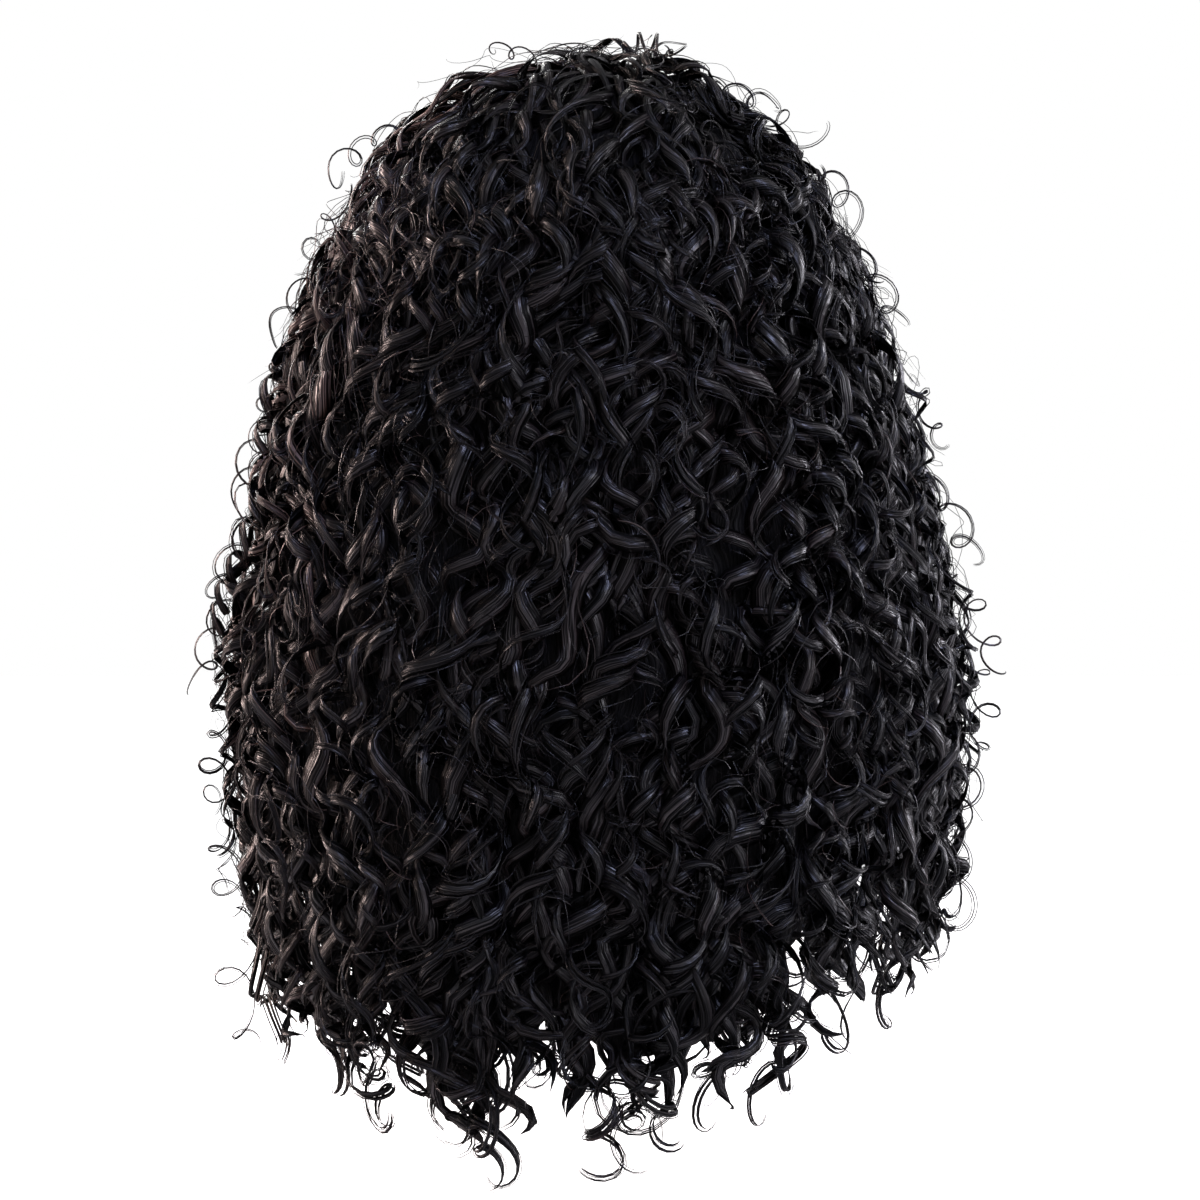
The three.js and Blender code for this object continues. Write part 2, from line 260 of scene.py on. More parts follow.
class HairMesh:
    """Closed strands gathered into one mesh, each with its place along the strand and its tone."""

    def __init__(self):
        self.points, self.quads, self.ends, self.quad_spots, self.end_spots = [], [], [], [], []
        self.point_count, self.triangles = 0, 0

    def add_strands(self, centre, side, up, corners, low, high):
        """Adds strands. centre, side and up are (strands, steps, 3), with the half widths in side and up.
        low and high give each strand its own rows of the tone map."""
        strands, steps = centre.shape[:2]
        angle = 2 * pi * np.arange(corners) / corners
        rings = (
            centre[:, 1:-1, None]
            + side[:, 1:-1, None] * np.cos(angle)[:, None]
            + up[:, 1:-1, None] * np.sin(angle)[:, None]
        )
        inner = steps - 2
        each = inner * corners + 2
        block = np.concatenate([rings.reshape(strands, -1, 3), centre[:, :1], centre[:, -1:]], axis=1)
        first = self.point_count + each * np.arange(strands)
        a = np.arange(corners)
        b = (a + 1) % corners
        last = corners * (inner - 1)
        quad = np.stack([a, b, b + corners, a + corners], axis=-1)
        quads = first[:, None, None, None] + corners * np.arange(inner - 1)[:, None, None] + quad
        root_end = np.stack([b, a, np.full(corners, each - 2)], axis=-1)
        tip_end = np.stack([a + last, b + last, np.full(corners, each - 1)], axis=-1)
        ends = first[:, None, None] + np.concatenate([root_end, tip_end])
        along = np.linspace(0, 1, steps)[1:-1]
        u0, u1 = along[None, :-1, None], along[None, 1:, None]
        across = low[:, None] + (high - low)[:, None] * np.arange(corners + 1) / corners
        v0, v1 = across[:, None, :-1], across[:, None, 1:]
        quad_spots = np.empty((strands, inner - 1, corners, 4, 2))
        for corner, (u, v) in enumerate([(u0, v0), (u0, v1), (u1, v1), (u1, v0)]):
            quad_spots[..., corner, 0] = u
            quad_spots[..., corner, 1] = v
        end_spots = np.empty((strands, 2, corners, 3, 2))
        end_spots[:, 0, :, :, 0] = [along[0], along[0], 0]
        end_spots[:, 1, :, :, 0] = [along[-1], along[-1], 1]
        end_spots[..., 0, 1] = v0
        end_spots[..., 1, 1] = v1
        end_spots[..., 2, 1] = (v0 + v1) / 2
        self.points.append(block.reshape(-1, 3))
        self.quads.append(quads.reshape(-1, 4))
        self.ends.append(ends.reshape(-1, 3))
        self.quad_spots.append(quad_spots.reshape(-1, 2))
        self.end_spots.append(end_spots.reshape(-1, 2))
        self.point_count += strands * each
        self.triangles += strands * corners * 2 * inner

    def make(self, name, materials, core_points, core_quads):
        """The piece with its strands and the dense under-hair beneath them, which is coloured near black as
        painted shade.
        """
        core_spot = np.array([[0, 0], [0.02, 0], [0.02, 0.01], [0, 0.01]])
        quads, ends = np.concatenate(self.quads), np.concatenate(self.ends)
        loops = np.concatenate([quads.ravel(), ends.ravel(), core_quads.ravel() + self.point_count])
        sizes = np.repeat([4, 3, 4], [len(quads), len(ends), len(core_quads)])
        core_spots = np.tile(core_spot, (len(core_quads), 1))
        spots = np.concatenate(self.quad_spots + self.end_spots + [core_spots])
        points = np.concatenate(self.points + [core_points]) * MM
        mesh = bpy.data.meshes.new(name)
        mesh.vertices.add(len(points))
        mesh.vertices.foreach_set("co", points.ravel())
        mesh.loops.add(len(loops))
        mesh.loops.foreach_set("vertex_index", loops.astype(np.int32))
        mesh.polygons.add(len(sizes))
        mesh.polygons.foreach_set("loop_start", (np.cumsum(sizes) - sizes).astype(np.int32))
        for map_name in ("strand", "OFBake"):
            layer = mesh.uv_layers.new(name=map_name)
            layer.uv.foreach_set("vector", spots.ravel().astype(np.float32))
        for material in materials:
            mesh.materials.append(material)
        is_core = np.arange(len(sizes)) >= len(quads) + len(ends)
        mesh.polygons.foreach_set("material_index", is_core.astype(np.int32))
        mesh.update(calc_edges=True)
        mesh.shade_smooth()
        piece = bpy.data.objects.new(name, mesh)
        bpy.context.scene.collection.objects.link(piece)
        return piece


CORE_DEPTH = 18
CAP_CLEAR = CAP_WALL + 0.4
# The kinds of ringlet, each with the spans that its sizes are picked from, in mm: how deep its middle lies,
# its radius and pitch, the steps in a turn, how round it is, how far its turns tip over to show as loops from
# outside and swing round to show as loops along the sides, how far its tip hooks round, how far it faces
# outward, how far it leaves its neighbours' beat, how uneven it is, its half width with how far that tapers,
# its number of bands, its loose fibres with their radius, and its share of a piece's triangles. The layer of
# an edge ringlet is a share of the hair's thickness.
ringlet_kinds = {
    "deep": dict(
        layer=(8, 18), radius=(5, 8.5), pitch=(32, 44), steps=9, roundness=0.6, tip_over=0.4, swing=0,
        hook=0.2, facing=0.7, mixed=1.2, uneven=0.25, half=(3.6, 5.6), taper=0.6, bands=1, fibres=(0, 1),
        thick=0.24, share=0.24,
    ),
    "body": dict(
        layer=(3, 12), radius=(5.2, 8.2), pitch=(32, 44), steps=12, roundness=1, tip_over=0.6, swing=0.7,
        hook=0.7, facing=0.2, mixed=0.6, uneven=0.25, half=(2.4, 4.6), taper=0.7, bands=1, fibres=(2, 4),
        thick=0.17, share=0.44,
    ),
    "hem": dict(
        layer=(2, 36), radius=(7.5, 11.5), pitch=(30, 42), steps=15, roundness=1, tip_over=1.2, swing=1,
        hook=0.9, facing=0.3, mixed=1.5, uneven=0.2, half=(1.4, 2.8), taper=0.35, bands=2, fibres=(2, 4),
        thick=0.18, share=0.23,
    ),
    "surface": dict(
        layer=(0, 7), radius=(4.5, 7.5), pitch=(22, 36), steps=13, roundness=1, tip_over=0.9, swing=1,
        hook=0.8, facing=0.25, mixed=2, uneven=0.3, half=(0.8, 1.8), taper=0.6, bands=1, fibres=(3, 5),
        thick=0.17, share=0.22,
    ),
    "stray": dict(
        layer=(-2, 5), radius=(3, 7), pitch=(14, 28), steps=16, roundness=1, tip_over=1.2, swing=1.4,
        hook=0.6, facing=0, mixed=2, uneven=0.3, half=(0.4, 1.0), taper=0, bands=0, fibres=(2, 4),
        thick=0.18, share=0.08,
    ),
    "frizz": dict(
        layer=(0, 8), radius=(3, 10), pitch=(20, 48), steps=12, roundness=0.8, tip_over=1.2, swing=1.4,
        hook=0.4, facing=0, mixed=2, uneven=0.4, half=(1, 1), taper=0, bands=0, fibres=(1, 1),
        thick=0.13, share=0.20,
    ),
    "inside": dict(
        layer=(6, 12), radius=(6, 10), pitch=(28, 44), steps=9, roundness=0.5, tip_over=0.6, swing=0,
        hook=0.4, facing=0.6, mixed=1, uneven=0.25, half=(2.4, 4.2), taper=0.6, bands=2, fibres=(0, 1),
        thick=0.24, share=0.08,
    ),
    "edge": dict(
        layer=(0.05, 0.95), radius=(6, 10), pitch=(28, 42), steps=11, roundness=0.8, tip_over=0.7, swing=0.5,
        hook=0.5, facing=0.4, mixed=1.5, uneven=0.3, half=(2.0, 3.6), taper=0.6, bands=2, fibres=(1, 3),
        thick=0.22, share=0.36,
    ),
    "hairline": dict(
        layer=(5, 9), radius=(4, 7), pitch=(20, 32), steps=12, roundness=0.7, tip_over=0.8, swing=0.5,
        hook=0.5, facing=0.3, mixed=2, uneven=0.3, half=(1.2, 2.6), taper=0.6, bands=2, fibres=(1, 3),
        thick=0.20, share=0.15, on_cap=True,
    ),
}


def hair_thickness(around, way):
    """How thick the hair is, in mm, from the outer form in to the cap or the neck space."""
    outer = outer_point(around, way)
    down = np.arccos(np.clip(1 + outer[..., 2] / HEAD_HALF_HEIGHT, 0, 1))
    inner = head_point(around, down, CAP_CLEAR)
    return np.hypot(outer[..., 0], outer[..., 1]) - np.hypot(inner[..., 0], inner[..., 1])


def depth_to_cap(around, way):
    """How far the cap's outside is from the outer form, in mm, straight in."""
    size = np.array([HEAD_HALF_WIDTH, HEAD_HALF_LENGTH, HEAD_HALF_HEIGHT]) + CAP_CLEAR
    place = (outer_point(around, way) + [0, 0, HEAD_HALF_HEIGHT]) / size
    inward = -outward(around, way) / size
    a, b, c = (inward * inward).sum(-1), (place * inward).sum(-1), (place * place).sum(-1) - 1
    return (-b - np.sqrt(np.maximum(b * b - a * c, 0))) / a


def ramp(value, low, high):
    """How far a value is from a low to a high one, from 0 to 1."""
    return np.clip((value - low) / (high - low), 0, 1)


def grown(share, least):
    """A size that grows from its least to 1 with a share."""
    return least + (1 - least) * share


def wander(rng, gone, shortest, longest):
    """A slow wave along a strand with a random length and start."""
    return np.sin(2 * pi * (gone / rng.uniform(shortest, longest) + rng.random()))


def round_wave(around, rows):
    """A wave round the head: the sum of waves with a size, a rate and a start."""
    return sum(size * np.sin(rate * around + start) for size, rate, start in rows)


# The line that a ringlet winds round: how far it drifts, leans and flows sideways with its neighbours, how
# fast it comes up from its root, how its depth sways and where its tip starts to lift. Lengths are in mm.
DRIFT, DRIFT_WAVE = 3, (60, 120)
LEAN = 0.10
FLOW, FLOW_WAVE = 8, 118
FLOW_STARTS = ((2.1, 1.7, 0), (1.3, 4.3, 1))
NARROWEST = 35
ROOT_RISE = 14
DEPTH_SWAY, DEPTH_WAVE = (1, 4), (60, 110)
LIFT_FROM = 0.75


def hanging_line(rng, kind, around, way, gone, share, layer, root_depth, tip_lift):
    """The line down the outer form that a ringlet winds round, and the ways out of it and ahead along it."""
    local_width = np.maximum(np.interp(np.abs(way), way_down, mean_width), NARROWEST)
    drift = DRIFT * wander(rng, gone, *DRIFT_WAVE) + rng.normal(0, LEAN) * gone
    flow = FLOW * np.sin(2 * pi * way / FLOW_WAVE + round_wave(around, FLOW_STARTS))
    line_round = around + (drift + flow - flow[0]) / local_width
    sway = rng.uniform(*DEPTH_SWAY) * wander(rng, gone, *DEPTH_WAVE)
    depth = layer + root_depth * np.exp(-gone / ROOT_RISE) + sway - tip_lift * ramp(share, LIFT_FROM, 1) ** 2
    if kind.get("on_cap"):
        depth = depth_to_cap(line_round, way) - layer
    out = outward(line_round, way)
    line = outer_point(line_round, way) - out * depth[:, None]
    ahead = unit(np.gradient(line, axis=0))
    return line, square_to(out, ahead), ahead


# The tone map has a row for each tone of single fibre in its lower half, a row for each tone of wide band
# in its third quarter, and a row for each tone of narrow band in its last.
FIBRE_MAP, FIBRE_ROWS = 0.5, 64
BAND_MAP, BAND_ROWS = 0.25, 8
TOP_TONE = 0.999
BEAT_LENGTH = 120
# The bands of a ringlet: how they sway and lift over each other, arch, thin out and end, and their tones.
BAND_CORNERS = 3
BAND_DEPTH = 0.24
NARROW_BAND = 1.6
BAND_BEAT = (0.4, 1.2)
BAND_SWAY, BAND_LIFT, BAND_LIFT_RATE = 0.3, 0.7, 1.3
BAND_ARCH = 0.3
BAND_THIN_FROM, BAND_THIN_POWER = 0.45, 1.2
BAND_TIP, BAND_TIP_LEAST = 0.1, 0.05
BAND_WIDTHS = (0.8, 1.3)
BAND_TONES = 0.06


def side_by_side(count):
    """Places from -1 to 1 that lie evenly beside each other."""
    return (np.arange(count)[:, None] + 0.5) / count * 2 - 1


def add_bands(hair, rng, kind, middle, across, face, half, share, length, tone):
    """Adds the flat bands of a ringlet beside each other."""
    bands = kind["bands"]
    several = bands > 1
    own, other = rng.random((2, bands, 1))
    beat = rng.uniform(*BAND_BEAT, (bands, 1)) * length / BEAT_LENGTH
    place = side_by_side(bands)
    thinned = half * (1 - kind["taper"] * ramp(share, BAND_THIN_FROM, 1) ** BAND_THIN_POWER)
    over = thinned * (place + BAND_SWAY * np.sin(2 * pi * (share * beat + own))) * several
    lift = BAND_LIFT * several * np.sin(2 * pi * (share * beat * BAND_LIFT_RATE + other))
    lift = lift - BAND_ARCH * thinned * place**2
    centre = middle + across * over[..., None] + face * lift[..., None]
    tip = np.clip((1 - share) / BAND_TIP, BAND_TIP_LEAST, 1)
    wide = (thinned * tip * rng.uniform(*BAND_WIDTHS, (bands, 1)) / bands)[..., None]
    tones = np.clip(tone + rng.normal(0, BAND_TONES, bands), 0, TOP_TONE)
    narrow = wide.max(axis=1)[:, 0] < NARROW_BAND
    low = FIBRE_MAP + BAND_MAP * (np.floor(tones * BAND_ROWS) / BAND_ROWS + narrow)
    high = low + BAND_MAP / BAND_ROWS
    hair.add_strands(centre, face * wide * BAND_DEPTH, across * wide, BAND_CORNERS, low, high)


# The loose fibres of a ringlet: how they scatter or lie along its bands' edges, stray, gather, thin out
# and differ in width and tone.
FIBRE_CORNERS = 3
FIBRE_BEAT = (0.5, 1.6)
FIBRE_SCATTER = 0.3
EDGE_PLACES = (0.6, 1.5)
LOOSE_SHARE, LOOSE, CLOSE = 0.25, 1.2, 0.4
GATHER, GATHER_FROM = 0.7, 0.4
FIBRE_LIFT, FIBRE_LIFT_RATE = 0.3, 1.4
FIBRE_ROOT, FIBRE_ROOT_LEAST = 0.04, 0.4
FIBRE_THIN, FIBRE_THIN_FROM, FIBRE_THIN_POWER = 0.6, 0.7, 1.5
FIBRE_WIDTHS = (0.75, 1.25)
FLAT_BY_BANDS, FLAT_ALONE = 1.5, 1.2
FIBRE_TONES = 0.16


def add_fibres(hair, rng, kind, fibres, middle, across, face, half, share, length, tone):
    """Adds the loose fibres of a ringlet."""
    own, other = rng.random((2, fibres, 1))
    beat = rng.uniform(*FIBRE_BEAT, (fibres, 1)) * length / BEAT_LENGTH
    place = side_by_side(fibres) + rng.normal(0, FIBRE_SCATTER, (fibres, 1))
    flat = FLAT_ALONE
    if kind["bands"]:
        place = np.where(place < 0, -1, 1) * rng.uniform(*EDGE_PLACES, (fibres, 1))
        flat = FLAT_BY_BANDS
    loose = np.where(rng.random((fibres, 1)) < LOOSE_SHARE, LOOSE, CLOSE)
    spread = half * (1 - GATHER * ramp(share, GATHER_FROM, 1))
    over = spread * (place + loose * np.sin(2 * pi * (share * beat + own)))
    lift = loose * np.sin(2 * pi * (share * beat * FIBRE_LIFT_RATE + other)) + FIBRE_LIFT
    centre = middle + across * over[..., None] + face * lift[..., None]
    taper = np.clip(share / FIBRE_ROOT, FIBRE_ROOT_LEAST, 1)
    taper = taper * (1 - FIBRE_THIN * ramp(share, FIBRE_THIN_FROM, 1) ** FIBRE_THIN_POWER)
    thick = (kind["thick"] * rng.uniform(*FIBRE_WIDTHS, (fibres, 1)) * taper)[..., None]
    tones = np.clip(tone + rng.normal(0, FIBRE_TONES, fibres), 0, TOP_TONE)
    low = FIBRE_MAP * np.floor(tones * FIBRE_ROWS) / FIBRE_ROWS
    high = low + FIBRE_MAP / FIBRE_ROWS
    hair.add_strands(centre, face * thick, across * thick * flat, FIBRE_CORNERS, low, high)


# The spring of a ringlet: how much tighter it is at the sides, how its pitch, turns and radius change, where
# its tip hooks round, and how much straighter and narrower it is at its root and near the crown.
SIDE_TIGHTER = 0.22
PITCH_SWELL = ((0.08, 3, 0.7),)
FEWEST_STEPS = 14
HOOK_FROM, HOOK_SOONER = 0.8, 0.15
HOOK_TIGHTER, HOOK_TIPPED = 0.2, 0.9
LEAST_TIPPED, MOST_TIPPED = 0.15, 1.35
STRAIGHT_WAY, CURLED_WAY = 35, 155
CROWN_TURNS, CROWN_CURL, CROWN_HALF = 0.6, 0.5, 0.65
TURN_WAVE = (45, 120)
BEAT_STARTS = ((2, 2.3, 1), (1.5, 5.1, 0))
ROOT_CURL, ROOT_CURL_LENGTH = 0.45, 22
CURL_SWELL, CURL_WAVE = 0.22, (40, 90)
ROOT_HALF, ROOT_HALF_LENGTH = 0.35, 30
HALF_SWELL, HALF_WAVE = 0.25, (35, 80)


def add_ringlet(hair, rng, kind, around, start, length, layer, root_depth, tip_lift, tone):
    """Adds bands of hair with loose fibres, wound into a ringlet that runs down from a start on the outer
    form."""
    springy = kind.get("springy")
    radius, pitch = rng.uniform(*kind["radius"]), rng.uniform(*kind["pitch"])
    tightness = 1 - SIDE_TIGHTER * abs(np.sin(around))
    radius = radius * tightness
    pitch = pitch * tightness * (1 + round_wave(around, PITCH_SWELL))
    steps = max(FEWEST_STEPS, int(length / pitch * kind["steps"]))
    share = np.linspace(0, 1, steps)
    hooked = ramp(share, HOOK_FROM - HOOK_SOONER * kind["hook"], 1)
    gone = np.cumsum(1 - kind["hook"] * hooked) * length / steps
    way = start + gone
    line, out, ahead = hanging_line(rng, kind, around, way, gone, share, layer, root_depth, tip_lift)
    relaxed = 1.0 if springy else ramp(np.abs(way), STRAIGHT_WAY, CURLED_WAY)
    turn_rate = (1 + kind["uneven"] * wander(rng, gone, *TURN_WAVE)) * grown(relaxed, CROWN_TURNS)
    beat_in = 2 * pi * start / pitch + round_wave(around, BEAT_STARTS) + rng.normal(0, kind["mixed"])
    turn = 2 * pi * np.cumsum(turn_rate) * (length / steps) / pitch + beat_in
    hand = rng.choice([-1, 1])
    curl = radius * grown(ramp(gone, 0, ROOT_CURL_LENGTH), ROOT_CURL)
    curl = curl * (1 + CURL_SWELL * wander(rng, gone, *CURL_WAVE))
    curl = curl * grown(relaxed, CROWN_CURL) * (1 - HOOK_TIGHTER * hooked)
    tipped = rng.uniform(LEAST_TIPPED, 1) * kind["tip_over"] + HOOK_TIPPED * kind["hook"] * hooked
    tipped = rng.choice([-1, 1]) * np.minimum(tipped, MOST_TIPPED)[:, None]
    rounded = grown(hooked, kind["roundness"]) * hand * np.cos(turn)
    swung = kind["swing"] * (1 if springy else rng.uniform(-1, 1)) * np.sin(around) ** 2
    swept = np.cross(ahead, out) * np.cos(swung) + ahead * np.sin(swung)
    spoke = rounded[:, None] * (out * np.cos(tipped) + ahead * np.sin(tipped)) + np.sin(turn)[:, None] * swept
    middle = line + spoke * curl[:, None]
    along = unit(np.gradient(middle, axis=0))
    face = square_to(blend(spoke, out, kind["facing"]), along)
    across = np.cross(along, face)
    half = rng.uniform(*kind["half"]) * (1 + HALF_SWELL * wander(rng, gone, *HALF_WAVE))
    half = half * np.clip(ROOT_HALF + gone / ROOT_HALF_LENGTH, 0, 1) * grown(relaxed, CROWN_HALF)
    if kind["bands"]:
        add_bands(hair, rng, kind, middle, across, face, half, share, length, tone)
    fewest, most = kind["fibres"]
    fibres = int(rng.integers(fewest, most + 1))
    if fibres:
        add_fibres(hair, rng, kind, fibres, middle, across, face, half, share, length, tone)


TONE_SHAPE, TONE_SPREAD = (2, 5), 0.5
# Painted light: ringlets on the left edge are made browner, standing in for light shining through them from
# the left.
LEFT_PAINTED_LIGHT, LEFT_NARROWNESS = (0.12, 0.82), 3
LEFT_FADE, LEFT_FADE_WAY, LEFT_LEAST = 1.2, 520, 0.55


def tone_and_painted_left_light(around, way, rng):
    """How brown a ringlet is: a random tone of its own, plus painted light on the left edge, a brown glow as
    if lit through from behind, above all near the top.
    """
    painted_left_light = np.clip(np.sin(around), 0, 1) ** LEFT_NARROWNESS
    painted_left_light = painted_left_light * np.clip(LEFT_FADE - way / LEFT_FADE_WAY, LEFT_LEAST, 1)
    return np.clip(rng.beta(*TONE_SHAPE) * TONE_SPREAD + painted_left_light * rng.uniform(*LEFT_PAINTED_LIGHT), 0, 1)


EVEN_STEP_ROUND = 0.7548776662
EVEN_STEP_DOWN = 0.5698402910


def evenly(count):
    """Pairs of shares from 0 to 1 that fill a square evenly."""
    number = np.arange(1, count + 1)
    return np.stack([number * EVEN_STEP_ROUND % 1, number * EVEN_STEP_DOWN % 1], axis=-1)


SPOT_COUNT = 4000
LAST_FIRST_SPOT = 900
SHORTEST = 45
DEEP_ROOT, CROWN_ROOT, CROWN_ROOT_WAY = 14, 6, 60
INSIDE_LENGTHS = (60, 140)
INSIDE_MIDDLE = 0.3
EDGE_BELOW = 20
LOOSE_CUT, LOOSE_LENGTHS = (0.3, 0.7), (40, 110)
LOOSE_BROWN = 0.08
MOST_TIP_LIFT = 7
BELOW_CAP_HEIGHT = -135
even_spots = evenly(SPOT_COUNT)
way_below_cap = float(way_at_height(BELOW_CAP_HEIGHT))


def grow(hair, rng, place_at, budget, kinds):
    """Fills a piece with each kind of ringlet in turn, up to that kind's share of the triangles."""
    shares = {name: ringlet_kinds[name]["share"] * weight for name, weight in kinds.items()}
    limit = hair.triangles
    spare = budget - limit
    for name in kinds:
        kind = ringlet_kinds[name]
        is_loose = name in ("stray", "frizz")
        limit += spare * shares[name] / sum(shares.values())
        spot = iter(even_spots[rng.integers(0, LAST_FIRST_SPOT):])
        while hair.triangles < limit:
            around, start, length = place_at(*next(spot), rng, name)
            if length < SHORTEST:
                continue
            layer = rng.uniform(*kind["layer"])
            root_depth = DEEP_ROOT if start > CROWN_ROOT_WAY else CROWN_ROOT
            if name == "inside":
                start = max(start, way_below_cap)
                length = float(np.clip(length, *INSIDE_LENGTHS))
                layer = float(hair_thickness(around, start + INSIDE_MIDDLE * length)) - layer
                root_depth = 0
            if name == "edge":
                layer = layer * float(hair_thickness(around, start + EDGE_BELOW))
            if is_loose:
                length = float(np.clip(length * rng.uniform(*LOOSE_CUT), *LOOSE_LENGTHS))
            tip_lift = rng.uniform(0, MOST_TIP_LIFT)
            tone = tone_and_painted_left_light(around, start, rng) + LOOSE_BROWN * is_loose
            add_ringlet(hair, rng, kind, around, start, length, layer, root_depth, tip_lift, tone)


STREAKS_ALONG = 5
STREAKS_ACROSS_WIDE = 680
STREAKS_ACROSS_NARROW = 400
FIBRE_RELIEF = 0.6 * MM
COAT = 1.05
STREAK_TONES = 0.4
JUST_BELOW_BANDS = FIBRE_MAP - 0.0001
fibre_tones = [(0, (0.0072, 0.0068, 0.0086)), (0.5, (0.0290, 0.0205, 0.0200)), (1, (0.190, 0.112, 0.092))]


def fibre_material():
    """Hair fibre with a thin gloss. Fine streaks run along its bands, with painted shade in the gaps between
    them, and a band's colour and gloss are darkened on its back and edges as painted shade, so that only its
    ridge shows lit."""
    gloss_terms = {"Roughness": 0.6, "Specular IOR Level": 0.02, "Coat Roughness": 0.27}
    fibre, tree, shader = new_material("hair fibre", gloss_terms)
    strand = add_node(tree, "UVMap")
    strand.uv_map = "strand"
    parts = add_node(tree, "SeparateXYZ", {"Vector": strand.outputs["UV"]})
    gone, row = parts.outputs["X"], parts.outputs["Y"]
    narrow = reckon(tree, "GREATER_THAN", row, FIBRE_MAP + BAND_MAP)
    finenesses = {"Value": narrow, "To Min": STREAKS_ACROSS_WIDE, "To Max": STREAKS_ACROSS_NARROW}
    fineness = add_node(tree, "MapRange", finenesses).outputs["Result"]
    lengthwise = reckon(tree, "MULTIPLY", gone, STREAKS_ALONG)
    crosswise = reckon(tree, "MULTIPLY", row, fineness)
    streak_spot = add_node(tree, "CombineXYZ", {"X": lengthwise, "Y": crosswise}).outputs["Vector"]
    streak_noise = add_node(tree, "TexNoise", {"Vector": streak_spot, "Scale": 1, "Detail": 1})
    streak_noise.noise_dimensions = "2D"
    streaks = streak_noise.outputs["Fac"]
    banded = reckon(tree, "GREATER_THAN", row, JUST_BELOW_BANDS)
    row_spot = reckon(tree, "FRACT", reckon(tree, "MULTIPLY", row, BAND_ROWS / BAND_MAP))
    to_ridge = reckon(tree, "ABSOLUTE", reckon(tree, "SUBTRACT", row_spot, 0.5))
    # Painted shade: a band's colour and gloss are darkened towards its back and edges, so that only its ridge
    # looks lit.
    ridge_fade = {"Value": to_ridge, "From Min": 0.16, "From Max": 0.34, "To Min": 0.08, "To Max": 0.8}
    ridge = add_node(tree, "MapRange", ridge_fade)
    ridge.interpolation_type = "SMOOTHSTEP"
    painted_back_shade = reckon(tree, "MAXIMUM", ridge.outputs["Result"], reckon(tree, "SUBTRACT", 1, banded))
    # Painted shade between strands: the gaps between the streaks darken the colour and the gloss.
    gap_fade = {"Value": streaks, "From Min": 0.45, "From Max": 0.60, "To Min": 0.09, "To Max": 1}
    gaps = add_node(tree, "MapRange", gap_fade).outputs["Result"]
    gloss_and_painted_shade = reckon(tree, "MULTIPLY", painted_back_shade, gaps)
    zone = reckon(tree, "MULTIPLY_ADD", banded, 1 / BAND_MAP - 1 / FIBRE_MAP, 1 / FIBRE_MAP)
    tone = reckon(tree, "FRACT", reckon(tree, "MULTIPLY", row, zone))
    lowered = reckon(tree, "SUBTRACT", tone, STREAK_TONES / 2)
    shifted = reckon(tree, "MULTIPLY_ADD", streaks, STREAK_TONES, lowered)
    colour = add_ramp(tree, shifted, fibre_tones)
    # The colour carries the painted shade of the band backs and the streak gaps.
    shaded = add_node(tree, "VectorMath", {0: colour, "Scale": gloss_and_painted_shade}, "SCALE").outputs["Vector"]
    relief = add_node(tree, "Bump", {"Distance": FIBRE_RELIEF, "Height": streaks}).outputs["Normal"]
    coat = reckon(tree, "MULTIPLY", gloss_and_painted_shade, COAT)
    feed(tree, shader, {"Base Color": shaded, "Coat Weight": coat, "Normal": relief, "Coat Normal": relief})
    return fibre


UNDER_RELIEF = 3 * MM
UNDER_WAVES = 45
UNDER_SWAY = 0.12
UNDER_STREAKS = (130, 45, 0)
UNDER_FROM, UNDER_TO = 0.42, 0.64
# The under-hair's near-black colours are partly the hair's own black and partly painted shade for the depth
# between ringlets.
under_painted_shades = [(UNDER_FROM, (0.0010, 0.0009, 0.0011)), (UNDER_TO, (0.0060, 0.0053, 0.0060))]


def under_material():
    """The dense hair under the ringlets, with swaying streaks down it, coloured darker than the fibre as
    painted shade for the deep gaps between the ringlets.
    """
    under, tree, shader = new_material("under hair", {"Specular IOR Level": 0.1})
    place = add_node(tree, "TexCoord").outputs["Object"]
    waves = add_node(tree, "TexNoise", {"Vector": place, "Scale": UNDER_WAVES, "Detail": 1}).outputs["Fac"]
    parts = add_node(tree, "SeparateXYZ", {"Vector": place}).outputs
    around = reckon(tree, "ARCTAN2", parts["X"], parts["Y"])
    swayed = reckon(tree, "MULTIPLY_ADD", waves, UNDER_SWAY, around)
    unrolled = add_node(tree, "CombineXYZ", {"X": swayed, "Y": parts["Z"]}).outputs["Vector"]
    stretched = add_node(tree, "VectorMath", {0: unrolled, 1: UNDER_STREAKS}, "MULTIPLY").outputs["Vector"]
    streak_noise = add_node(tree, "TexNoise", {"Vector": stretched, "Scale": 1, "Detail": 3})
    streak_noise.noise_dimensions = "2D"
    streaks = streak_noise.outputs["Fac"]
    relief = add_node(tree, "Bump", {"Distance": UNDER_RELIEF, "Height": streaks}).outputs["Normal"]
    dulling = {"Value": streaks, "From Min": UNDER_FROM, "From Max": UNDER_TO, "To Min": 0.9, "To Max": 0.45}
    dull = add_node(tree, "MapRange", dulling).outputs["Result"]
    colour = add_ramp(tree, streaks, under_painted_shades)
    feed(tree, shader, {"Base Color": colour, "Roughness": dull, "Normal": relief})
    return under


hair_stuff = (fibre_material(), under_material())
FACE_HALF_ANGLE, TEMPLE_ANGLE = radians(20), radians(50)


def over_face(around):
    """1 above the forehead, 0 from the temples back."""
    return 1 - eased(ramp(pi - from_back(around), FACE_HALF_ANGLE, TEMPLE_ANGLE))


